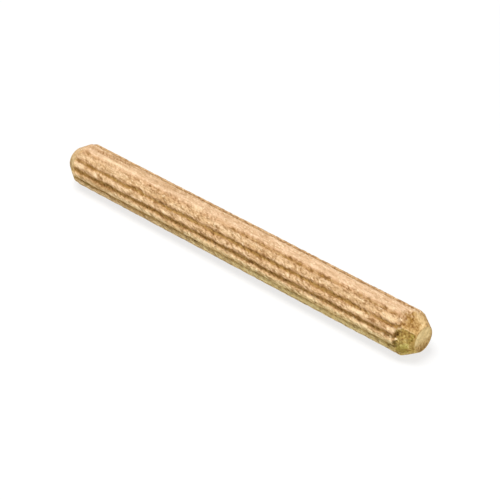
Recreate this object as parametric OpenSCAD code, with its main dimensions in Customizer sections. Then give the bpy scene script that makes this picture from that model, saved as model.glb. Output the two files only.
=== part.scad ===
// Fluted wooden dowel pin. It lies along X with its middle at the origin,
// one flute straight up and, since the count is even, one straight down,
// so that it rests on two neighbouring ridges.

/* [Pin] */
// Diameter over the ridges
pin_d = 8; // [6:0.1:16]
// Length from end face to end face
pin_len = 80; // [20:1:200]

/* [Bevelled ends] */
// Length of each conical bevel, measured along the pin
bevel_len = 2.5; // [1.5:0.1:5]
// Diameter of the flat end faces
end_d = 4.7; // [3:0.1:5.5]

/* [Flutes] */
// Number of straight flutes round the pin
flute_count = 14; // [8:2:16]
// Width of a flute between the ridges on either side
flute_w = 0.8; // [0.75:0.01:1.1]
// Depth of a flute below the ridges
flute_depth = 0.38; // [0.2:0.01:0.4]
// Radius of the rounded shoulders of the ridges
shoulder_r = 0.26; // [0.15:0.01:0.3]
// Depth of the top flute, which was hardly pressed, as a share of the full depth
top_share = 0.3; // [0.2:0.05:1]
// Depth of the next flute towards -Y, as a share of the full depth
next_share = 0.65; // [0.3:0.05:1]

/* [Torn ridge ends] */
// How far the larger tear bites into its ridge before the bevel starts
tear_back = 0.5; // [0:0.05:2]
// Depth of the pit at its break, below the top of the ridge
tear_pit = 0.8; // [0.5:0.05:1]
// Length of a pit along the pin
tear_pit_len = 0.6; // [0.3:0.05:0.8]
// How far a torn facet lies below the bevel
tear_drop = 0.25; // [0.1:0.05:0.4]
// Width of sound bevel left between a torn facet and the end face
tear_rim = 0.4; // [0.2:0.05:0.8]
// Width of a tear round the pin
tear_w = 1.8; // [1.5:0.1:2.2]
// Bite and pit of the smaller tear, as a share of the larger one's
second_tear = 0.7; // [0.5:0.05:1]

/* [Hidden] */
$fn = 96;
pin_r = pin_d / 2;
end_r = end_d / 2;
flute_pitch = 360 / flute_count;
// Cutters reach this far past the faces that they cut
over = 0.2;
// Arcs that run into each other cross by this much, so that they meet in one clean edge
blend = 0.0005;
// Flutes that are less than fully pressed, as shares of the depth, from the top one on towards -Y
shallow_flutes = [top_share, next_share];
// Torn +X ends: the ridge, counted from the top flute towards -Y, and the tear's size
torn_ridges = [[2, 1], [3, second_tear]];

// Radius of the bevel's cone at the station x
function bevel_radius(x) = end_r + (pin_len / 2 - x) * (pin_r - end_r) / bevel_len;

// Half of the angle that a flute takes up between two ridges
flute_half = asin(flute_w / 2 / pin_r);
// Distance from the pin's axis to a shoulder's centre
shoulder_at = pin_r - shoulder_r + blend;

// Depth of a flute, counted from the top one on towards -Y
function depth_of(i) = flute_depth * (i < len(shallow_flutes) ? shallow_flutes[i] : 1);

// Radius of the round bottom of a flute that reaches down to floor_r, so that its
// arc runs into the arcs of both shoulders
function root_radius(floor_r) =
    blend + (pow(shoulder_at, 2) + pow(floor_r, 2) - pow(shoulder_r, 2)
             - 2 * shoulder_at * floor_r * cos(flute_half))
            / (2 * (shoulder_r - floor_r + shoulder_at * cos(flute_half)));

function mirrored(point) = [-point.x, point.y];

// Section of a flute of one depth, opening towards +Y: two convex shoulders run into
// a round bottom
module flute_section(depth) {
    root_r = root_radius(pin_r - depth);
    root_centre = [0, pin_r - depth + root_r];
    shoulder_dir = [sin(flute_half), cos(flute_half)];
    shoulder_centre = shoulder_at * shoulder_dir;
    // Where the bottom's arc runs into a shoulder's, and a point outside the pin
    join = root_centre + (shoulder_centre - root_centre) * root_r / (root_r + shoulder_r);
    outside = (pin_r + over) * shoulder_dir;
    difference() {
        polygon([
            join, shoulder_centre, outside,
            mirrored(outside), mirrored(shoulder_centre), mirrored(join)
        ]);
        for (centre = [shoulder_centre, mirrored(shoulder_centre)])
            translate(centre) circle(r = shoulder_r);
    }
    translate(root_centre) circle(r = root_r);
}

// Section of the pin, with a flute straight up
module pin_section() {
    difference() {
        circle(r = pin_r);
        for (i = [0 : flute_count - 1])
            rotate(i * flute_pitch) flute_section(depth_of(i));
    }
}

// What the bevel takes off the +X end: the ring outside its cone
module bevel_ring() {
    low = pin_len / 2 - bevel_len - over;
    high = pin_len / 2 + over;
    rotate([0, 90, 0])
        rotate_extrude()
            polygon([
                [bevel_radius(high), high],
                [bevel_radius(low), low],
                [bevel_radius(low) + over, low],
                [bevel_radius(low) + over, high]
            ]);
}

// What is torn off the end of a ridge turned straight up: a steep pit at the
// break, then a facet that runs out below the bevel
module torn_end(size) {
    break_x = pin_len / 2 - bevel_len - size * tear_back;
    facet_x = break_x + tear_pit_len;
    rim_x = pin_len / 2 - tear_rim;
    pit_floor = [break_x, pin_r - size * tear_pit];
    facet_start = [facet_x, bevel_radius(facet_x) - tear_drop];
    facet_end = [rim_x, bevel_radius(rim_x)];
    clear_end = facet_end + (facet_end - facet_start) / 4;
    top = pin_r + over;
    rotate([90, 0, 0])
        linear_extrude(tear_w, center = true)
            polygon([[break_x, top], pit_floor, facet_start, clear_end, [clear_end.x, top]]);
}

module dowel_pin() {
    color("burlywood")
        difference() {
            rotate([90, 0, 90])
                linear_extrude(pin_len, center = true)
                    pin_section();
            for (end = [0, 1])
                mirror([end, 0, 0]) bevel_ring();
            for (tear = torn_ridges)
                rotate([(tear[0] + 0.5) * flute_pitch, 0, 0]) torn_end(tear[1]);
        }
}

dowel_pin();
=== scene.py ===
import math

import bpy
import numpy as np
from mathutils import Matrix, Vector


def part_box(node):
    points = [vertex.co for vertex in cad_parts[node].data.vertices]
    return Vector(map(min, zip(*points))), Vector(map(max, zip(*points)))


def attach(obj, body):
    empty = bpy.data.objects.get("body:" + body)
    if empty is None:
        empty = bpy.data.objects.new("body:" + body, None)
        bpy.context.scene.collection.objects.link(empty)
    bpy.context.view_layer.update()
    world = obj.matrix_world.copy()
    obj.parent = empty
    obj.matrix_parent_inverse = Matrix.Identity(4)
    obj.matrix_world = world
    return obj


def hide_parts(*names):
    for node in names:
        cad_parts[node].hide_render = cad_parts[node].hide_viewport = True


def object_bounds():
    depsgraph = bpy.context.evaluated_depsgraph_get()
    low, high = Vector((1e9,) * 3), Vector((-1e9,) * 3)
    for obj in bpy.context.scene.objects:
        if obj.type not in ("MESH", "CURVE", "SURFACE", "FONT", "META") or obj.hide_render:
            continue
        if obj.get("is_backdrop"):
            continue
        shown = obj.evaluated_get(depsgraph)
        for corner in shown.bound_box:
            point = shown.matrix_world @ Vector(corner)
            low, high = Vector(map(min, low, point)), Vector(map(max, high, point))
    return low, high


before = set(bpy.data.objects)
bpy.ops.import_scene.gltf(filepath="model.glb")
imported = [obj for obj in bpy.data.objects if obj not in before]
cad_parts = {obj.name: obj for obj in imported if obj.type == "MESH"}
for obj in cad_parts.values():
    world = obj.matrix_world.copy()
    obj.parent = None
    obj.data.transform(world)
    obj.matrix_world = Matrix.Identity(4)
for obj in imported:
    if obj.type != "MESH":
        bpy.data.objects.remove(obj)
cadLow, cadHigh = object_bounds()
pinLow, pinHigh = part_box("dowel_pin")
mm = 0.001      # the scene is in metres, and the values below are in millimetres and degrees

pin = {
    "flutes": 14,
    "fluteWidth": 1.7,          # from ridge top to ridge top across a flute
    "fluteDepth": 0.42,
    "shoulderRadius": 0.7,      # rounding of the ridges' edges
    "bevelLength": 2.5,
    "endRadius": 2.35,          # of the flat end faces
    "edgeRounding": 0.07,       # where the bevels cut the ridges
    "fullness": 0.015,          # how far the ridges stand out before the wear takes its share
    # How deep each flute is pressed, from the top one on towards -Y, as a share of fluteDepth
    "fluteShares": (1.0, 1.0, 1.1, 1.22, 1.05, 1.0, 0.9, 1.0, 1.0, 0.9, 1.0, 0.9, 0.9, 0.9),
    "deepest": 1.4,             # the most that a share may come to
    # Degrees that flutes lie off their place round the pin, and shares by which some are wider
    "fluteShifts": ((1, -4.0), (2, -0.2), (3, 0.7), (4, 1.8)),
    "fluteStretch": ((2, 1.04), (3, 1.10)),
    # Flutes whose share changes along the pin: flute, places and shares there
    "uneven": (
        (0, (-32, -26), (0.35, 0.20)),
        (1, (-5, 3, 18, 24, 35.5, 36.8), (0.58, 0.86, 0.88, 0.74, 0.74, 0.30)),
        (2, (-24, -18, -10, 15, 22, 27, 29.5, 32, 33.5),
         (0.98, 0.90, 1.08, 1.08, 1.15, 1.10, 0.85, 0.85, 1.05)),
        (3, (-8, -5, -1, 20, 25, 31), (1.22, 1.10, 1.22, 1.22, 1.35, 1.25)),
        (4, (-30, -20, -12, -4), (1.05, 1.15, 1.10, 0.85)),
        (13, (31, 36), (0.90, 0.60)),
    ),
    "brokenFlute": 1,           # pressed in fits and starts
    "wanderAlong": ((-22, -10), (0.062, 0.032)),        # how far flutes wander at these places
    "steadyFlute": 3,           # straighter than the others
    "steadyShare": 0.45,
    "shiftsFadeFrom": 0.5,      # from a flute's middle; the ridges' tops stay in place
    # Frayed shoulders: distances from a flute's middle where the fraying comes and goes
    "frayFrom": (0.06, 0.22),
    "frayTo": (0.5, 0.85),
    "pressed": ((-36, -15), (0.78, 1.0)),       # the flutes get shallower towards the -X end
    "smoothSide": 2,            # the side that the press left smooth
    "columnStops": (0.12, 0.24, 0.36, 0.48, 0.61, 0.75),    # grid lines beside each flute's middle
    "leastGap": 0.02,           # between neighbouring grid lines
    "fineFrom": 36.0,           # the rows lie closer from here to the torn end
    "rowCounts": (16, 397, 15, 32),     # on the -X bevel, up to there, up to and on the +X bevel
    "faceRings": 15,
    "leastRadius": 0.5,
    "waveCount": 60,            # in each kind of roughness
    # Each kind of roughness: height, size along and round the pin, seed and slant
    "roughness": {
        "wander": (1.0, 3.5, 1, 20, 0),
        "fineWander": (0.018, 0.9, 1, 60, 0),
        "width": (0.06, 2.5, 1, 100, 0),
        "depth": (0.06, 3, 1, 140, 0),
        "broken": (0.09, 0.7, 1, 180, 0),
        "frayed": (0.045, 0.42, 0.3, 1, 0.5),
        "rubbed": (1.0, 7, 2.5, 3, 0),
        "lumpy": (0.024, 1.2, 0.45, 8, 0.3),
        "dented": (0.031, 0.75, 0.38, 2, 0.6),
        "picked": (1.0, 0.45, 0.28, 4, 0.5),
        "sawMarks": (0.02, 0.5, 0.5, 5, 0),
        "fineSawMarks": (0.012, 0.25, 0.25, 6, 0),
        "breakLine": (1.0, 0.35, 0.3, 200, 0),
        "rim": (0.06, 0.5, 0.5, 201, 0),
        "facet": (0.045, 0.45, 0.35, 202, 0),
        "sawnEdge": (0.25, 0.6, 0.5, 203, 0),
        "tornTone": (0.12, 0.22, 0.6, 204, 0),
        "fibres": (1.0, 0.16, 0.24, 205, 0),
        "blotches": (0.18, 0.8, 0.8, 206, 0.2),
        "endGrain": (0.02, 0.35, 0.35, 300, 0),
        "endMarks": (0.02, 0.5, 1, 310, 0),
        "markOutline": (0.25, 0.4, 0.25, 400, 0.5),
    },
    "wear": {
        "offSmoothSide": 0.6,       # share of the wear that the smooth side is spared
        "smoothCosines": (0.88, 0.97),      # of the turn away from that side, at its edge
        "offTop": ((-38, -12), (0.65, 0)),      # so is the top towards the -X end
        "topTo": (46, 58),          # degrees round over which that part ends
        "offFlutes": 0.3,           # and so are the flutes' bottoms
        "rubbedDepth": 0.012,
        "pickedDepth": 0.12,
        "pickedAbove": 1.2,         # fibres are picked off where the waves pass this
    },
    "tear": {
        "from": 45,             # degrees round from the top, where the facet ends in a step
        "to": 112,              # where it runs out
        "tintedTo": 138,       # where its colour runs out
        # Where the ridges break off: degrees and places along the pin
        "breakDegrees": (45, 50, 57, 69, 75, 80, 88, 99, 112),
        "breakPlaces": (37.8, 37.2, 36.7, 36.7, 37.3, 37.3, 36.7, 36.8, 37.4),
        "facetStart": 37.7,
        "drop": 0.30,           # below the bevel at the breaks
        "rimDrop": 0.14,        # below the bevel at the rim
        "rimDegrees": (50, 75, 105),        # sound wood left before the end face
        "rimWidths": (0.22, 0.40, 0.90),
        "edge": 0.12,           # over which the break drops to the facet
        "sideWaves": 0.03,      # height of the waves in the facet's side and in the break
        "breakWaves": 0.06,
        "runOut": 16,           # degrees over which the facet and its colour run out
        "tintRunOut": 20,
    },
    "finish": {
        "markEdge": (0.4, 1.3),     # where a mark starts to fade and ends, as shares of its size
        "blotchesFrom": (24, 58),       # degrees round where the blotches come and go
        "blotchesTo": (92, 98),
        "blotchesAlong": ((-14, -8), (1, 0.4)),
        "offRidges": (0.1, 0.5),        # shares of a flute's depth where the ridges end
        "fibresAbove": 1.1,         # pale fibres show in the facet where the waves pass this
        "fibreTone": -0.6,
        "deepestHollow": 1.5,
        "shoulderShade": 0.9,
        "sawnEdge": (-0.3, 0.5),        # where the bevels' finish starts, from the bevel's edge on
        "sawnLeft": 0.35,           # how far it shows on the -X bevel and face
        "sawnLeftFace": 0.6,
        # The low side's painted greenish light: its middle, and how much of it shows there and
        # along the pin
        "lowMiddle": 118,
        "lowCosines": (0.78, 1.0),
        "lowShare": 0.85,
        "lowAlong": ((-25, 10), (0.5, 1)),
        # Its share on the -X bevel, the +X bevel and the +X bevel's rim, and the degrees between
        # which it comes in
        "lowLeft": (1.4, 25, 75),
        "lowRight": (0.7, 90, 120),
        "lowRim": (0.6, 35, 60),
        "lowRimFrom": (38.8, 39.4),
        "lowFace": 0.32,            # and on the +X face
        "endMarkEdge": (0.3, 1.2),
        "faceEdge": 0.15,           # share of an end face over which its roughness starts
        "sawStroke": (0.62, 0.79),      # the saw marks' direction across an end face
    },
    # Single flaws, and a few spots of painted shade and painted highlight: place along the pin and
    # round it, half length, half width, depth and darkness
    "flawsAndPaintedLight": (
        (37.30, 13, 0.60, 0.80, 0.06, 0.85),        # the worn end of the smooth side
        (37.45, 1, 0.50, 0.55, 0.03, 0.56),
        (38.00, 13, 0.40, 0.60, 0.00, 0.25),
        (36.40, 13, 0.60, 0.80, 0.00, 0.52),
        (36.40, 2, 0.50, 0.25, 0.03, 0.35),
        (36.70, -3, 0.40, 0.20, 0.03, 0.35),
        (35.50, 23, 0.70, 0.25, 0.04, 0.40),
        (37.20, 35, 0.60, 0.70, 0.05, 0.12),
        (37.40, 37, 0.45, 0.38, 0.05, 0.75),
        (36.90, 40, 1.00, 0.80, 0.13, 0.00),        # the worn end of a ridge
        (36.60, 32, 0.50, 0.50, 0.00, -0.30),
        (37.00, 44, 0.18, 0.20, 0.08, 0.70),
        (37.30, 51, 0.50, 0.35, 0.00, -0.50),
        (36.40, 60, 0.90, 0.45, 0.00, -0.30),
        (37.20, 64, 0.28, 0.36, 0.30, 0.80),        # hollows under the torn fibres, sunk and darkened with painted shade
        (36.88, 71, 0.26, 0.45, 0.20, 0.90),
        (36.95, 96, 0.24, 0.26, 0.10, 0.40),
        (38.60, 22, 1.00, 1.45, 0.00, 0.34),        # the brown part of the bevel and its pits
        (38.10, 17, 0.45, 0.90, 0.00, 0.28),
        (38.80, 29, 1.00, 0.60, 0.00, 0.16),
        (38.15, 11, 0.14, 0.35, 0.08, 0.60),
        (38.25, 20, 0.14, 0.50, 0.10, 0.65),
        (38.05, 39, 0.14, 0.40, 0.10, 0.65),
        (38.80, 38, 0.14, 0.45, 0.10, 0.65),
        (38.75, 24, 0.12, 0.45, 0.05, 0.40),
        (39.25, 10, 0.16, 0.70, 0.03, 0.40),
        (39.45, 27, 0.30, 0.60, 0.03, 0.50),
        (38.60, 15, 0.14, 0.40, 0.00, -0.35),
        (38.95, 30, 0.12, 0.30, 0.00, -0.30),
        (38.90, -14, 1.10, 1.20, 0.00, -0.45),
        (39.75, 5, 0.25, 1.05, 0.00, -0.50),
        (36.40, -22, 1.20, 0.50, -0.04, -0.60),
        (38.75, 44, 0.95, 0.10, -0.04, -0.75),      # the torn facet's raised edge, with a painted highlight
        (38.30, 54, 0.90, 0.70, 0.00, 0.16),
        (38.32, 64, 0.15, 0.28, -0.03, -1.00),
        (38.62, 73, 0.14, 0.42, -0.03, -0.80),
        (38.78, 91, 0.15, 0.45, -0.04, -0.90),
        (39.10, 98, 0.14, 0.35, -0.03, -0.80),
        (38.15, 95, 0.14, 0.25, -0.02, -0.70),
        (38.60, 91, 0.80, 1.10, 0.00, -0.42),
        (38.45, 51, 0.10, 0.25, -0.02, -0.30),
        (38.05, 88, 0.14, 0.20, 0.04, 0.50),
        (38.20, 114, 0.90, 0.70, 0.02, 0.48),
        (36.40, 115, 0.90, 0.40, 0.00, 0.24),
        (38.10, 120, 0.35, 0.40, 0.00, 0.35),
        (39.68, 51, 0.18, 0.42, 0.02, 0.75),
        (39.70, 78, 0.50, 1.60, 0.00, 0.68),
        (39.50, 114, 0.60, 1.00, 0.00, 0.75),
        (37.20, 80, 0.40, 0.22, -0.05, -0.80),      # a splinter
        (36.15, 83, 0.45, 0.25, -0.03, -0.45),
        (36.40, 92, 0.70, 0.40, 0.00, -0.35),
        (32.10, 64, 0.60, 0.28, 0.08, 0.60),
        (29.30, 60, 2.00, 0.28, 0.00, -0.50),
        (34.80, 38, 1.60, 0.55, -0.04, -0.50),
        (23.40, 75, 1.10, 0.35, 0.05, 0.35),
        (14.00, 76, 0.50, 0.35, 0.04, 0.25),
        (12.00, 40, 0.50, 0.22, 0.00, -0.35),
        (6.30, 38, 0.60, 0.35, 0.00, -0.30),
        (-0.20, 20, 0.50, 0.22, 0.08, 0.55),
        (-6.80, 65, 0.80, 0.22, 0.12, 0.55),
        (-9.10, 30, 1.00, 0.09, 0.08, 0.80),
        (-9.00, 17, 1.20, 0.50, 0.00, -0.45),
        (-13.60, 37, 0.90, 0.40, 0.00, -0.40),
        (-12.30, 98, 0.50, 0.30, 0.08, 0.50),
        (-20.10, 21, 0.60, 0.12, 0.10, 0.90),
        (-20.70, 53, 0.30, 0.30, 0.08, 0.60),
        (-28.80, 77, 0.90, 0.40, 0.05, 0.25),
        (-30.30, 10, 2.60, 0.50, 0.00, -0.50),
        (-36.50, 17, 0.60, 0.25, 0.06, 0.40),
        (-35.60, 21, 0.60, 0.20, 0.06, 0.45),
        (-35.00, 41, 0.45, 0.28, 0.06, 0.45),       # scalloped edges of two ridges
        (-33.80, 40, 0.45, 0.25, 0.06, 0.45),
        (-30.80, 42, 0.50, 0.28, 0.06, 0.45),
        (-29.10, 39, 0.60, 0.32, 0.05, 0.40),
        (-28.20, 44, 0.40, 0.20, 0.06, 0.50),
        (-26.20, 42, 0.50, 0.20, 0.05, 0.40),
        (-31.20, 59, 0.35, 0.28, 0.07, 0.50),
        (-30.40, 65, 0.45, 0.25, 0.08, 0.60),
        (-29.50, 61, 0.35, 0.22, 0.06, 0.45),
        (-34.60, 63, 0.60, 0.28, 0.03, 0.30),
        (-35.50, -5, 1.80, 0.30, 0.10, 0.30),       # a slanting crease
        (-32.50, -8, 2.00, 0.30, 0.12, 0.35),
        (-29.50, -10, 2.00, 0.30, 0.12, 0.35),
        (-26.50, -12, 2.00, 0.30, 0.10, 0.35),
        (-24.00, -5, 22.00, 1.20, 0.00, 0.25),
        (-30.50, 1, 3.50, 0.25, 0.03, 0.30),
        (-26.00, 9, 3.00, 0.40, 0.00, -0.35),
        (6.00, -22, 32.00, 0.60, 0.00, 0.24),
        (-39.00, 84, 1.40, 1.20, 0.00, 0.50),
        (-39.40, 26, 0.70, 0.60, 0.00, 0.25),
        (-36.00, 61, 1.60, 0.45, 0.00, -0.35),
        (-39.00, 66, 1.60, 2.00, 0.00, 0.18),
        (-31.00, 86, 6.00, 0.60, 0.02, 0.44),
        (-4.00, 87, 7.00, 0.35, 0.00, -0.25),
        (19.50, 86, 2.50, 0.35, 0.00, -0.25),
        (15.50, 97, 2.20, 0.40, 0.02, 0.28),
        (30.50, 97, 2.20, 0.40, 0.02, 0.28),
        (12.00, 110, 27.00, 0.28, 0.00, -0.18),
        (3.00, -20, 8.00, 0.50, 0.00, 0.22),
        (-4.00, 37, 34.00, 0.60, 0.00, 0.14),
        (-4.00, 60, 34.00, 0.40, 0.00, 0.06),
        (0.00, 86, 36.00, 0.50, 0.00, 0.02),
        (25.00, 34, 12.00, 0.65, 0.00, 0.14),
        (-17.00, 36, 6.50, 0.60, 0.00, 0.13),
        (-25.00, 81, 14.00, 0.20, 0.00, 0.15),
        (-17.00, 49, 7.00, 0.30, 0.00, -0.05),
        (25.30, 34, 2.40, 1.00, 0.00, 0.18),
        (29.50, 41, 1.80, 0.40, 0.00, 0.18),
        (-24.00, 117, 16.00, 0.50, 0.00, 0.22),
        (29.50, 87, 9.00, 0.35, 0.00, -0.12),
        (26.40, 84, 0.30, 0.18, -0.02, -0.35),
        (28.50, 84, 0.28, 0.18, -0.02, -0.30),
        (31.00, 85, 0.50, 0.18, -0.03, -0.40),
        (34.40, 84, 0.40, 0.18, -0.02, -0.30),
        (25.40, 20, 0.45, 0.20, 0.05, 0.45),        # dark ends of torn fibres in the broken flute
        (27.50, 19, 0.60, 0.18, 0.04, 0.35),
        (29.50, 20, 0.45, 0.18, 0.05, 0.40),
        (33.00, 18, 0.35, 0.25, 0.05, 0.45),
        (34.00, 14, 0.75, 0.45, 0.00, -0.32),       # a pale spot and its dark edge
        (34.75, 24, 0.50, 0.25, 0.03, 0.45),
    ),
    # Greener places low on the pin, more of its painted greenish light, given through the torn
    # facet's tint: place, half length, half width and strength
    "green": (
        (36.3, 108, 1.8, 0.8, 0.45),
        (-34.4, 108, 0.9, 0.3, 0.8),
    ),
    # Bright and dark places on the +X end face, as distances along +Y and +Z from its middle
    "endMarks": (
        (-0.30, 0.90, 3.00, 1.80, -0.50),
        (0.20, -2.20, 2.20, 1.20, 0.65),
        (-0.35, -1.90, 0.30, 0.20, 0.60),
        (1.10, -0.60, 0.35, 0.25, 0.35),
        (-1.80, 0.20, 0.50, 0.60, -0.35),
        (-1.30, -0.60, 0.25, 0.30, -0.40),
        (-1.10, -1.20, 0.14, 0.50, 0.50),
        (-0.78, -1.30, 0.14, 0.55, -0.60),
        (-0.48, -1.30, 0.14, 0.60, 0.60),
        (-0.18, -1.20, 0.14, 0.50, -0.60),
        (0.14, -1.20, 0.14, 0.60, 0.55),
        (0.55, -1.40, 0.14, 0.50, 0.45),
        (-1.30, 1.30, 0.90, 0.50, -0.30),
        (-1.20, -1.00, 1.10, 0.60, 0.25),
        (1.25, 0.00, 0.50, 0.45, -0.40),
        (0.20, 0.50, 0.40, 0.15, 0.25),
        (0.90, 1.30, 0.45, 0.35, -0.35),
    ),
    "seed": 7,
}
halfLength = (pinHigh.x - pinLow.x) / 2 / mm
ridgeRadius = (pinHigh.y - pinLow.y) / 2 / mm
bodyEnd = halfLength - pin["bevelLength"]
pitch = 2 * math.pi / pin["flutes"]
wear, tear, finish = pin["wear"], pin["tear"], pin["finish"]


def smoothStep(low, high, value):
    # 0 below low, 1 above high, and 3t^2 - 2t^3 in between
    t = np.clip((value - low) / (high - low), 0, 1)
    return t * t * (3 - 2 * t)


def roughness(kind, x, turn, more=0):
    # Roughness of one kind, which closes round the pin: a sum of cosine waves with seeded
    # headings, phases and half lengths near its two sizes, sheared along the pin by its slant
    height, sizeAlong, sizeRound, seed, slant = pin["roughness"][kind]
    count = pin["waveCount"]
    rng = np.random.default_rng(pin["seed"] + seed + more)
    heading = rng.uniform(0, 2 * math.pi, count)
    pace = rng.uniform(0.5, 1.5, count) * math.pi
    perTurn = np.round(pace * np.sin(heading) / sizeRound * ridgeRadius)
    perLength = pace * np.cos(heading) / sizeAlong - slant * perTurn / ridgeRadius
    phase = rng.uniform(0, 2 * math.pi, count)
    total = np.zeros(np.broadcast(x, turn).shape)
    for i in range(count):
        total += np.cos(perLength[i] * x + perTurn[i] * turn + phase[i])
    return height * (total * math.sqrt(2 / count))


def fluteSink(offset):
    # Depth of a flute at a distance from its middle: a round bottom,
    # depth - r + sqrt(r^2 - offset^2), runs into the convex arc of each shoulder,
    # s - sqrt(s^2 - (half - offset)^2)
    half, depth, s = pin["fluteWidth"] / 2, pin["fluteDepth"], pin["shoulderRadius"]
    r = (half ** 2 + depth ** 2 - 2 * depth * s) / (2 * depth)
    away = np.abs(offset)
    bottom = depth - r + np.sqrt(np.maximum(r ** 2 - away ** 2, 0))
    shoulder = s - np.sqrt(np.maximum(s ** 2 - np.maximum(half - away, 0) ** 2, 0))
    return np.where(away < half * r / (r + s), bottom, shoulder)


def coneRadius(x):
    # Radius of the bevels' cones: up from the end faces' edges in a straight line to the ridges
    slope = (ridgeRadius - pin["endRadius"]) / pin["bevelLength"]
    return pin["endRadius"] + (halfLength - np.abs(x)) * slope


def softLower(a, b, width):
    # The lower of two surfaces, rounded over the width where they cross
    h = np.clip(0.5 + 0.5 * (a - b) / width, 0, 1)
    return a * (1 - h) + b * h - width * h * (1 - h)


# Columns: each flute takes the same stops on both sides of its middle, and a ridge takes one
# at its top
stops = np.array(pin["columnStops"])
ridgeTop = pitch / 2 * ridgeRadius
local = np.concatenate([-stops[::-1], [0.0], stops, [ridgeTop]])
flute = np.repeat(np.arange(pin["flutes"]), len(local))
offset = np.tile(local, pin["flutes"])[None, :]
columns = len(flute)
runs = (-halfLength, -bodyEnd, pin["fineFrom"], bodyEnd, halfLength)
rowX = [np.linspace(a, b, n, endpoint=False) for a, b, n in zip(runs, runs[1:], pin["rowCounts"])]
rowX = np.concatenate(rowX + [[halfLength]])[:, None]
x = rowX + np.zeros((1, columns))

# The flutes wander, and their width and depth change along the pin
wander, widthShare, depthShare = np.zeros_like(x), np.zeros_like(x), np.zeros_like(x)
shareAlong = [np.full_like(rowX, share) for share in pin["fluteShares"]]
for k, places, shares in pin["uneven"]:
    shareAlong[k] = np.interp(rowX, places, shares)
for k in range(pin["flutes"]):
    own = flute == k
    reach = np.interp(rowX, *pin["wanderAlong"])
    if k == pin["steadyFlute"]:
        reach = reach * pin["steadyShare"]
    wander[:, own] = reach * roughness("wander", rowX, 0, k) + roughness("fineWander", rowX, 0, k)
    widthShare[:, own] = 1 + roughness("width", rowX, 0, k)
    depthShare[:, own] = shareAlong[k] * (1 + roughness("depth", rowX, 0, k))
    if k == pin["brokenFlute"]:
        depthShare[:, own] *= 1 + roughness("broken", rowX, 0)
for k, stretch in pin["fluteStretch"]:
    widthShare[:, flute == k] *= stretch
for k, shift in pin["fluteShifts"]:
    wander[:, flute == k] += math.radians(shift) * ridgeRadius
fade = 1 - smoothStep(pin["shiftsFadeFrom"], ridgeTop, np.abs(offset))
arc = offset + (offset * (widthShare - 1) + wander) * fade
turn = (flute * pitch)[None, :] + arc / ridgeRadius
shoulders = smoothStep(*pin["frayFrom"], np.abs(offset))
shoulders = shoulders * (1 - smoothStep(*pin["frayTo"], np.abs(offset)))
turn = turn + shoulders * roughness("frayed", x, turn) / ridgeRadius
# Columns that would be carried past each other stay in order, with a least gap between them
gaps = np.arange(columns) * pin["leastGap"] / ridgeRadius
turn = np.maximum.accumulate(turn - gaps, axis=1) + gaps
degrees = np.degrees((turn + math.pi) % (2 * math.pi) - math.pi)

# What is pressed, rubbed, dented or picked off the ridges
pressed = np.interp(x, *pin["pressed"])
sink = fluteSink(offset) * np.clip(depthShare, 0, pin["deepest"]) * pressed
inFlute = sink / pin["fluteDepth"]
onSmoothSide = smoothStep(*wear["smoothCosines"], np.cos(turn - math.radians(pin["smoothSide"])))
onTop = 1 - smoothStep(*wear["topTo"], degrees)
worn = 1 - wear["offSmoothSide"] * onSmoothSide
worn = worn * (1 - np.interp(x, *wear["offTop"]) * onTop)
worn = worn * (1 - wear["offFlutes"] * np.clip(inFlute, 0, 1))
rubbed = wear["rubbedDepth"] * (1 + np.tanh(roughness("rubbed", x, turn)))
lumpy = worn * roughness("lumpy", x, turn)
dented = worn * np.abs(roughness("dented", x, turn))
picked = worn * np.clip(roughness("picked", x, turn) - wear["pickedAbove"], 0, 1)
radius = ridgeRadius + pin["fullness"] - sink - rubbed - lumpy - dented
radius = radius - wear["pickedDepth"] * picked
markOutline = roughness("markOutline", x, turn)


def markPatch(markX, markDegrees, halfLong, halfWide):
    # 1 inside an oval mark with a frayed outline, and 0 outside
    away = (turn - math.radians(markDegrees) + math.pi) % (2 * math.pi) - math.pi
    reach = np.hypot((x - markX) / halfLong, away * ridgeRadius / halfWide)
    return 1 - smoothStep(*finish["markEdge"], reach + markOutline)


# Bevels, cut across the grain
sawMarks = np.abs(roughness("sawMarks", x, turn)) + np.abs(roughness("fineSawMarks", x, turn))
radius = softLower(radius, coneRadius(x) - sawMarks, pin["edgeRounding"])

# The torn side of the +X end: ridges broken off along a ragged line, and a facet that lies
# below the bevel. Each distance is positive inside it: from the break, from the step at its
# side and from the rim
rimX = halfLength - np.interp(degrees, tear["rimDegrees"], tear["rimWidths"])
breakX = np.interp(degrees, tear["breakDegrees"], tear["breakPlaces"])
breakLine = roughness("breakLine", x, turn)
inX = x - breakX + tear["breakWaves"] * breakLine
inTurn = np.radians(degrees - tear["from"]) * coneRadius(np.maximum(np.abs(x), bodyEnd))
inTurn = inTurn + tear["sideWaves"] * breakLine
inRim = rimX - x + roughness("rim", x, turn)
torn = smoothStep(0, tear["edge"], np.minimum(np.minimum(inX, inTurn), inRim))
inside = torn * (1 - smoothStep(tear["to"] - tear["runOut"], tear["to"], degrees))
# Where the torn facet's colour and its painted shade run out
tintEnd = tear["tintedTo"]
torn = torn * (1 - smoothStep(tintEnd - tear["tintRunOut"], tintEnd, degrees))
facetShare = np.clip((x - tear["facetStart"]) / (rimX - tear["facetStart"]), 0, 1)
facetDrop = tear["drop"] + (tear["rimDrop"] - tear["drop"]) * facetShare
facet = coneRadius(np.maximum(x, tear["facetStart"])) - facetDrop
facet = facet + roughness("facet", x, turn)
radius = radius + (np.minimum(radius, facet) - radius) * inside
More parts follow.
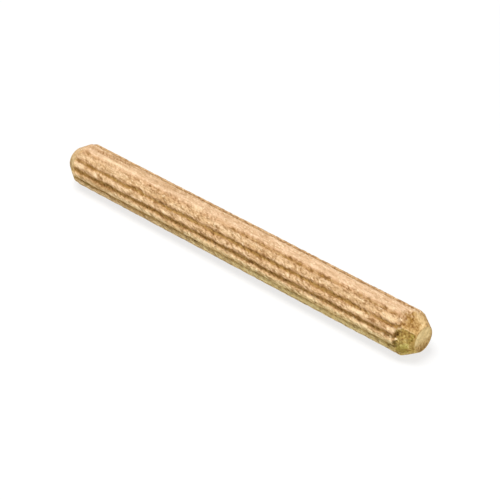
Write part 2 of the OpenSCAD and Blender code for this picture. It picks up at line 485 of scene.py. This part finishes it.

# How dark each point is, less than 0 where it is paler: blotches on the ridges of the seen side,
# pale fibres in the facet, and then every flaw, painted shade and painted highlight in the list
onRidges = 1 - smoothStep(*finish["offRidges"], inFlute)
blotchy = smoothStep(*finish["blotchesFrom"], degrees)
blotchy = blotchy * (1 - smoothStep(*finish["blotchesTo"], degrees))
blotchy = blotchy * np.interp(x, *finish["blotchesAlong"])
fibres = np.clip(roughness("fibres", x, turn) - finish["fibresAbove"], 0, 1)
tone = onRidges * blotchy * roughness("blotches", x, turn)
tone = tone + inside * (roughness("tornTone", x, turn) + finish["fibreTone"] * fibres)
for markX, markDegrees, halfLong, halfWide, deep, dark in pin["flawsAndPaintedLight"]:
    patch = markPatch(markX, markDegrees, halfLong, halfWide)
    radius = radius - deep * patch
    tone = tone + dark * patch
ground = np.minimum(ridgeRadius, coneRadius(x))
radius = np.clip(radius, pin["leastRadius"], ground)
# Painted shade in the flutes and other hollows, by how far the surface lies below the ridges and
# bevels
hollowShade = np.clip((ground - radius) / pin["fluteDepth"] / pressed, 0, finish["deepestHollow"])
# The ridges' lower shoulders get the same painted shade as the flutes, from the next grid line
hollowShade = np.maximum(hollowShade, finish["shoulderShade"] * np.roll(hollowShade, -1, axis=1))
# How far the bevels' finish shows
sawn = smoothStep(*finish["sawnEdge"], np.abs(x) - bodyEnd - roughness("sawnEdge", x, turn))
sawn = sawn * np.where(x < 0, finish["sawnLeft"], 1)
hollowShade = hollowShade * (1 - sawn * (1 - inside))
# More painted greenish light low on the pin, given through the torn facet's tint
for markX, markDegrees, halfLong, halfWide, share in pin["green"]:
    torn = np.maximum(torn, share * markPatch(markX, markDegrees, halfLong, halfWide))


def comesIn(share, start, stop):
    # Up to the share as the surface turns from one angle to the other
    return share * smoothStep(start, stop, degrees)


# How much the low side's painted greenish light shows: it reaches further up on the bevels, and is
# weaker towards the -X end
low = smoothStep(*finish["lowCosines"], np.cos(turn - math.radians(finish["lowMiddle"])))
low = finish["lowShare"] * low * np.interp(x, *finish["lowAlong"])
lowOnBevels = np.where(x < 0, comesIn(*finish["lowLeft"]), comesIn(*finish["lowRight"]))
lowOnRim = comesIn(*finish["lowRim"]) * smoothStep(*finish["lowRimFrom"], x)
low = low + (1 - low) * sawn * np.maximum(lowOnBevels, lowOnRim)


def makeFace(row, end):
    # Rings from the rim of an end face in to its middle, sunk a little by open end grain and
    # saw marks, and how dark each point is
    share = np.linspace(1, 0, pin["faceRings"] + 2)[1:-1, None]
    r, a = radius[row][None, :] * share, turn[row][None, :]
    y, z = -r * np.sin(a), r * np.cos(a)
    strokeY, strokeZ = finish["sawStroke"]
    grain = np.abs(roughness("endGrain", y, z / ridgeRadius, end))
    marks = np.abs(roughness("endMarks", strokeY * y + strokeZ * z, 0 * z, end))
    started = smoothStep(0, finish["faceEdge"], 1 - share)
    dark = np.zeros(r.shape)
    for markY, markZ, halfWide, halfHigh, deep in pin["endMarks"]:
        reach = np.hypot((y - markY) / halfWide, (z - markZ) / halfHigh)
        dark = dark + (end > 0) * deep * (1 - smoothStep(*finish["endMarkEdge"], reach))
    return end * (halfLength - (grain + marks) * started), y, z, dark


def withFaces(left, middle, right):
    # The rows of the left face from its middle out, of the pin's side, and of the right face
    # from its rim in
    return np.concatenate([left[::-1], middle, right])


leftFace, rightFace = makeFace(0, -1), makeFace(-1, 1)
side = (x, -radius * np.sin(turn), radius * np.cos(turn), tone)
gridX, gridY, gridZ, toneAll = [withFaces(*three) for three in zip(leftFace, side, rightFace)]
zero, one = np.zeros(leftFace[1].shape), np.ones(leftFace[1].shape)
paint = {
    "hollowShade": withFaces(zero, hollowShade, zero),
    "tone": toneAll,
    "sawn": withFaces(finish["sawnLeftFace"] * one, sawn, one),
    "torn": withFaces(zero, np.clip(torn, 0, 1), zero),
    "low": withFaces(zero, low, finish["lowFace"] * one),
}
rows = len(gridX)
# Rows run from pole to pole, a quad between each two rows and columns, and a fan round each pole
poles = np.array([[-halfLength, 0, 0], [halfLength, 0, 0]])
points = np.concatenate([np.stack([gridX, gridY, gridZ], -1).reshape(-1, 3), poles]) * mm
here = np.arange(columns)
following = (here + 1) % columns
start = np.arange(rows - 1)[:, None] * columns
quads = [start + here, start + following, start + columns + following, start + columns + here]
faces = np.stack(quads, -1).reshape(-1, 4).tolist()
lastRow, leftPole = (rows - 1) * columns, np.full(columns, rows * columns)
faces += np.stack([leftPole, following, here], -1).tolist()
faces += np.stack([leftPole + 1, lastRow + here, lastRow + following], -1).tolist()
pinMesh = bpy.data.meshes.new("dowelPin")
pinMesh.from_pydata(points, [], faces)
for name, values in paint.items():
    onPoints = np.append(values.ravel(), values[[0, -1], 0]).astype(np.float32)
    pinMesh.attributes.new(name, "FLOAT", "POINT").data.foreach_set("value", onPoints)
pinMesh.shade_smooth()
dowelPin = bpy.data.objects.new("dowelPin", pinMesh)
bpy.context.scene.collection.objects.link(dowelPin)
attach(dowelPin, "root")
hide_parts("dowel_pin")
print("pin shaped:", len(points), "points")

wood = {
    "deep": (0.685, 0.45, 0.238),
    "pale": (0.79, 0.57, 0.355),
    "rosy": (0.71, 0.475, 0.285),            # the smooth side
    "bright": (0.82, 0.58, 0.380),
    "tuft": (0.93, 0.75, 0.49),             # raised cream fibres
    "cream": (0.93, 0.73, 0.46),            # the pale marks
    "yellow": (0.95, 0.71, 0.38),           # the pale marks in sawn wood, and the painted highlight on the torn facet's edge
    "olive": (0.84, 0.99, 0.75),            # painted greenish light on the side that faces down and forward
    "shade": (0.86, 0.79, 0.74),            # painted shade half way down a flute, and at its bottom
    "hollowShade": (0.54, 0.45, 0.24),
    "stainAndShade": (0.50, 0.40, 0.21),            # tint of the darkest flaws, and of the painted shade in the hollows under the torn fibres
    "fleckTint": (0.52, 0.43, 0.31),
    "fibreTint": (0.74, 0.68, 0.58),
    "speckTint": (0.66, 0.58, 0.48),
    "sawnDeep": (0.50, 0.305, 0.115),       # bevels and end faces
    "sawnPale": (0.73, 0.475, 0.195),
    "tornAndShadeTint": (0.61, 0.62, 0.40),         # the torn facet: torn wood's colour, and painted shade below its step
    # Noise of each kind: scale along and across the pin, detail, and where its change of colour
    # starts and ends
    "noise": {
        "blotch": ((0.16, 0.6, 0.6), 3, (0.34, 0.66)),
        "mottle": ((0.5, 1.2, 1.2), 3, (0.36, 0.64)),       # on the smooth side
        "fibre": ((0.45, 5, 5), 4, (0.36, 0.58)),
        "fleck": ((1.0, 2.3, 2.3), 2, (0.36, 0.53)),
        "speck": ((2.0, 4.2, 4.2), 2, (0.34, 0.50)),
        "tuft": ((1.4, 2.6, 2.6), 2, (0.58, 0.72)),
        "rings": ((0.05, 0.25, 1.5), 2, (0.30, 0.70)),
        "pores": ((2.4, 2.4, 2.4), 2, (0.36, 0.54)),
    },
    "twistPerMm": -0.10,        # radians that the slanted flecks turn round the pin per millimetre
    "ringSlope": -38,           # degrees that the growth rings lean in the end faces
    "fibreShare": 0.8,          # how much of the fibres' tint shows
    "tuftShare": 0.7,
    "smoothEdge": (0.86, 0.99),         # cosines of the turn away from the smooth side
    "flecksShow": (0.9, 0.35),      # away from the smooth side, and on it
    "flecksAlong": ((-36, -12), (0.6, 1)),
    "fluteStops": (0.15, 0.55, 1.0),        # depths where a flute's painted shade starts and is full
    "roughness": 0.6,
    "specular": 0.1,
    "bumpStrength": 0.9,
    "bumpDepth": 0.05,
}


def makeWood():
    material = bpy.data.materials.new("bareBeech")
    material.use_nodes = True
    nodes, links = material.node_tree.nodes, material.node_tree.links
    skin = nodes["Principled BSDF"]
    white = (1.0, 1.0, 1.0)
    nodeGap = 220               # between neighbours in the node editor

    def add(kind, column, row, **settings):
        node = nodes.new(kind)
        node.location = (column * nodeGap, -row * nodeGap)
        for name, value in settings.items():
            setattr(node, name, value)
        return node

    place = add("ShaderNodeTexCoord", 0, 0)
    inMm = add("ShaderNodeMapping", 1, 0)
    inMm.inputs["Scale"].default_value = (1 / mm, 1 / mm, 1 / mm)
    links.new(place.outputs["Object"], inMm.inputs["Vector"])
    split = add("ShaderNodeSeparateXYZ", 2, 1)
    links.new(inMm.outputs[0], split.inputs[0])
    angle = add("ShaderNodeMath", 3, 1, operation="MULTIPLY")
    angle.inputs[1].default_value = wood["twistPerMm"]
    links.new(split.outputs["X"], angle.inputs[0])
    twist = add("ShaderNodeVectorRotate", 4, 1, rotation_type="X_AXIS")
    links.new(inMm.outputs[0], twist.inputs["Vector"])
    links.new(angle.outputs[0], twist.inputs["Angle"])

    def grain(kind, source, row, slope=0.0):
        # Noise stretched along the pin, on millimetres, after a turn about the pin's axis
        scale, detail, _ = wood["noise"][kind]
        stretch = add("ShaderNodeMapping", 5, row)
        stretch.inputs["Scale"].default_value = scale
        if slope:
            lean = add("ShaderNodeVectorRotate", 4, row, rotation_type="X_AXIS")
            lean.inputs["Angle"].default_value = math.radians(slope)
            links.new(source.outputs[0], lean.inputs["Vector"])
            source = lean
        noise = add("ShaderNodeTexNoise", 6, row)
        noise.inputs["Scale"].default_value = 1
        noise.inputs["Detail"].default_value = detail
        links.new(source.outputs[0], stretch.inputs["Vector"])
        links.new(stretch.outputs[0], noise.inputs["Vector"])
        return noise.outputs["Fac"]

    def ramp(source, row, *stops):
        node = add("ShaderNodeValToRGB", 7, row)
        elements = node.color_ramp.elements
        while len(elements) < len(stops):
            elements.new(0.5)
        for element, (position, colour) in zip(elements, stops):
            element.position = position
            element.color = (*colour, 1)
        links.new(source, node.inputs[0])
        return node.outputs[0]

    def shades(kind, source, row, low, high):
        # From one colour to the other, where this kind of noise changes colour
        start, stop = wood["noise"][kind][2]
        return ramp(source, row, (start, low), (stop, high))

    def span(source, row, fromLow, fromHigh, toLow=0.0, toHigh=1.0, smooth=False):
        # A value carried from one range to another
        node = add("ShaderNodeMapRange", 7, row)
        node.interpolation_type = "SMOOTHSTEP" if smooth else "LINEAR"
        ranges = {"From Min": fromLow, "From Max": fromHigh, "To Min": toLow, "To Max": toHigh}
        for socket, value in ranges.items():
            node.inputs[socket].default_value = value
        links.new(source, node.inputs["Value"])
        return node.outputs["Result"]

    def mix(kind, share, a, b, row):
        # Inputs 0, 6 and 7 of a mix of colours are its share and the two, and output 2 is its own
        node = add("ShaderNodeMix", 8, row, data_type="RGBA", blend_type=kind)
        for socket, value in ((0, share), (6, a), (7, b)):
            if isinstance(value, bpy.types.NodeSocket):
                links.new(value, node.inputs[socket])
            elif isinstance(value, tuple):
                node.inputs[socket].default_value = (*value, 1)
            else:
                node.inputs[socket].default_value = value
        return node.outputs[2]

    def facing(sideDegrees, low, high, row):
        # 0 to 1 as the surface comes round to the side at these degrees from the top
        turnTo = math.radians(sideDegrees)
        towards = Vector((0, -math.sin(turnTo), math.cos(turnTo)))
        dot = add("ShaderNodeVectorMath", 3, row, operation="DOT_PRODUCT")
        dot.inputs[1].default_value = towards / ridgeRadius
        links.new(inMm.outputs[0], dot.inputs[0])
        return span(dot.outputs["Value"], row, low, high, smooth=True)

    def painted(name, row):
        return add("ShaderNodeAttribute", 6, row, attribute_name=name).outputs["Fac"]

    blotch = grain("blotch", inMm, 0)
    fibre = grain("fibre", inMm, 1)
    fleck = grain("fleck", twist, 2)
    speck = grain("speck", inMm, 3)
    tuft = grain("tuft", twist, 7)
    mottle = grain("mottle", inMm, 9)
    rings = grain("rings", inMm, 10, wood["ringSlope"])
    pores = grain("pores", inMm, 11)
    smoothShare = facing(pin["smoothSide"], *wood["smoothEdge"], 4)
    flecksShow = add("ShaderNodeMath", 8, 6, operation="MULTIPLY")
    flecksRound = span(smoothShare, 6, 0, 1, *wood["flecksShow"])
    (fromX, toX), (fromShare, toShare) = wood["flecksAlong"]
    flecksAlong = span(split.outputs["X"], 16, fromX, toX, fromShare, toShare)
    links.new(flecksRound, flecksShow.inputs[0])
    links.new(flecksAlong, flecksShow.inputs[1])

    # The pressed wood, from its broad blotches to its smallest specks
    base = shades("blotch", blotch, 0, wood["deep"], wood["pale"])
    smooth = shades("mottle", mottle, 9, wood["rosy"], wood["bright"])
    fibres = shades("fibre", fibre, 1, wood["fibreTint"], white)
    flecks = shades("fleck", fleck, 2, wood["fleckTint"], white)
    specks = shades("speck", speck, 3, wood["speckTint"], white)
    tufts = span(tuft, 7, *wood["noise"]["tuft"][2], 0, wood["tuftShare"])
    colour = mix("MIX", smoothShare, base, smooth, 0)
    colour = mix("MULTIPLY", wood["fibreShare"], colour, fibres, 1)
    colour = mix("MULTIPLY", flecksShow.outputs[0], colour, flecks, 2)
    colour = mix("MULTIPLY", flecksShow.outputs[0], colour, specks, 3)
    colour = mix("MIX", tufts, colour, wood["tuft"], 4)
    # Painted shade down the flutes and in the other hollows
    tints = zip(wood["fluteStops"], (white, wood["shade"], wood["hollowShade"]))
    colour = mix("MULTIPLY", 1.0, colour, ramp(painted("hollowShade", 4), 4, *tints), 6)

    # The sawn wood of the bevels and end faces
    sawnWood = shades("rings", rings, 10, wood["sawnDeep"], wood["sawnPale"])
    openPores = shades("pores", pores, 11, wood["speckTint"], white)
    sawnWood = mix("MULTIPLY", 1.0, sawnWood, openPores, 7)
    sawn = painted("sawn", 12)
    colour = mix("MIX", sawn, colour, sawnWood, 8)

    # Dark and pale flaws with their painted shade and highlight, the torn facet's colour with its
    # painted shade, and the low side's painted greenish light
    flawAndLightTone = painted("tone", 5)
    pale = mix("MIX", sawn, wood["cream"], wood["yellow"], 13)
    colour = mix("MULTIPLY", span(flawAndLightTone, 14, 0, 1), colour, wood["stainAndShade"], 9)
    colour = mix("MIX", span(flawAndLightTone, 15, 0, -1), colour, pale, 10)
    colour = mix("MULTIPLY", painted("torn", 13), colour, wood["tornAndShadeTint"], 11)
    colour = mix("MULTIPLY", painted("low", 8), colour, wood["olive"], 12)
    links.new(colour, skin.inputs["Base Color"])
    skin.inputs["Roughness"].default_value = wood["roughness"]
    skin.inputs["Specular IOR Level"].default_value = wood["specular"]
    height = add("ShaderNodeMath", 8, 12, operation="ADD")
    links.new(fibre, height.inputs[0])
    links.new(fleck, height.inputs[1])
    bump = add("ShaderNodeBump", 9, 12)
    bump.inputs["Strength"].default_value = wood["bumpStrength"]
    bump.inputs["Distance"].default_value = wood["bumpDepth"] * mm
    links.new(height.outputs[0], bump.inputs["Height"])
    links.new(bump.outputs[0], skin.inputs["Normal"])
    return material


pinMesh.materials.append(makeWood())
print("wood made")

studio = {
    "floorHalf": 1500,
    "floorColour": 0.90,
    "floorRoughness": 0.9,
    "whiteShare": 0.75,         # how much of the floor the camera sees as plain white
    "worldLight": 0.28,
    # Softboxes: place, size and watts
    "softboxes": {
        "lamp": ((-50, -90, 580), 300, 3.75),
        "fill": ((300, -330, 80), 300, 0.78),
    },
}


def seenShare(nodes, links, otherwise, whenSeen):
    # A value for camera, glossy and transmission rays, and another for the rest
    path = nodes.new("ShaderNodeLightPath")
    seen = path.outputs["Is Camera Ray"]
    for kind in ("Is Glossy Ray", "Is Transmission Ray"):
        either = nodes.new("ShaderNodeMath")
        either.operation = "MAXIMUM"
        links.new(seen, either.inputs[0])
        links.new(path.outputs[kind], either.inputs[1])
        seen = either.outputs[0]
    share = nodes.new("ShaderNodeMapRange")
    share.inputs["To Min"].default_value = otherwise
    share.inputs["To Max"].default_value = whenSeen
    links.new(seen, share.inputs["Value"])
    return share.outputs["Result"]


def makeFloor():
    # A matt pale surface, which the camera and reflections see mostly as plain white
    material = bpy.data.materials.new("paleFloor")
    material.use_nodes = True
    nodes, links = material.node_tree.nodes, material.node_tree.links
    skin = nodes["Principled BSDF"]
    grey = studio["floorColour"]
    skin.inputs["Base Color"].default_value = (grey, grey, grey, 1)
    skin.inputs["Roughness"].default_value = studio["floorRoughness"]
    skin.inputs["Specular IOR Level"].default_value = 0.0
    white = nodes.new("ShaderNodeEmission")
    either = nodes.new("ShaderNodeMixShader")
    links.new(seenShare(nodes, links, 0.0, studio["whiteShare"]), either.inputs[0])
    links.new(skin.outputs[0], either.inputs[1])
    links.new(white.outputs[0], either.inputs[2])
    links.new(either.outputs[0], nodes["Material Output"].inputs["Surface"])
    return material


h, z = studio["floorHalf"] * mm, cadLow.z
floorMesh = bpy.data.meshes.new("floor")
floorMesh.from_pydata([(-h, -h, z), (h, -h, z), (h, h, z), (-h, h, z)], [], [(0, 1, 2, 3)])
floorMesh.materials.append(makeFloor())
floor = bpy.data.objects.new("floor", floorMesh)
bpy.context.scene.collection.objects.link(floor)
floor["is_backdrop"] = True

world = bpy.data.worlds.new("studio")
world.use_nodes = True
worldNodes, worldLinks = world.node_tree.nodes, world.node_tree.links
sky = worldNodes["Background"]
sky.inputs["Color"].default_value = (1, 1, 1, 1)
skyShare = seenShare(worldNodes, worldLinks, studio["worldLight"], 1.0)
worldLinks.new(skyShare, sky.inputs["Strength"])
bpy.context.scene.world = world

for name, (place, size, watts) in studio["softboxes"].items():
    softbox = bpy.data.objects.new(name, bpy.data.lights.new(name, "AREA"))
    softbox.data.size = size * mm
    softbox.data.energy = watts
    softbox.location = Vector(place) * mm
    softbox.rotation_euler = softbox.location.to_track_quat("Z", "Y").to_euler()
    bpy.context.scene.collection.objects.link(softbox)
print("studio lit")

shot = {
    "heading": -47.68,          # degrees from +X round to the camera
    "elevation": 35.15,
    "distance": 326.98,
    "aim": (1.779, 0.716, -0.950),
    "lens": 136.94,
    "clipStart": 10,
}
heading, elevation = math.radians(shot["heading"]), math.radians(shot["elevation"])
level = math.cos(elevation)
toCamera = Vector((math.cos(heading) * level, math.sin(heading) * level, math.sin(elevation)))
camera = bpy.data.objects.new("camera", bpy.data.cameras.new("camera"))
camera.data.lens = shot["lens"]
camera.data.clip_start = shot["clipStart"] * mm
camera.location = (Vector(shot["aim"]) + toCamera * shot["distance"]) * mm
camera.rotation_euler = toCamera.to_track_quat("Z", "Y").to_euler()
bpy.context.scene.collection.objects.link(camera)
bpy.context.scene.camera = camera
bpy.context.scene.view_settings.view_transform = "Standard"
print("camera placed")

low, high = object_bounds()
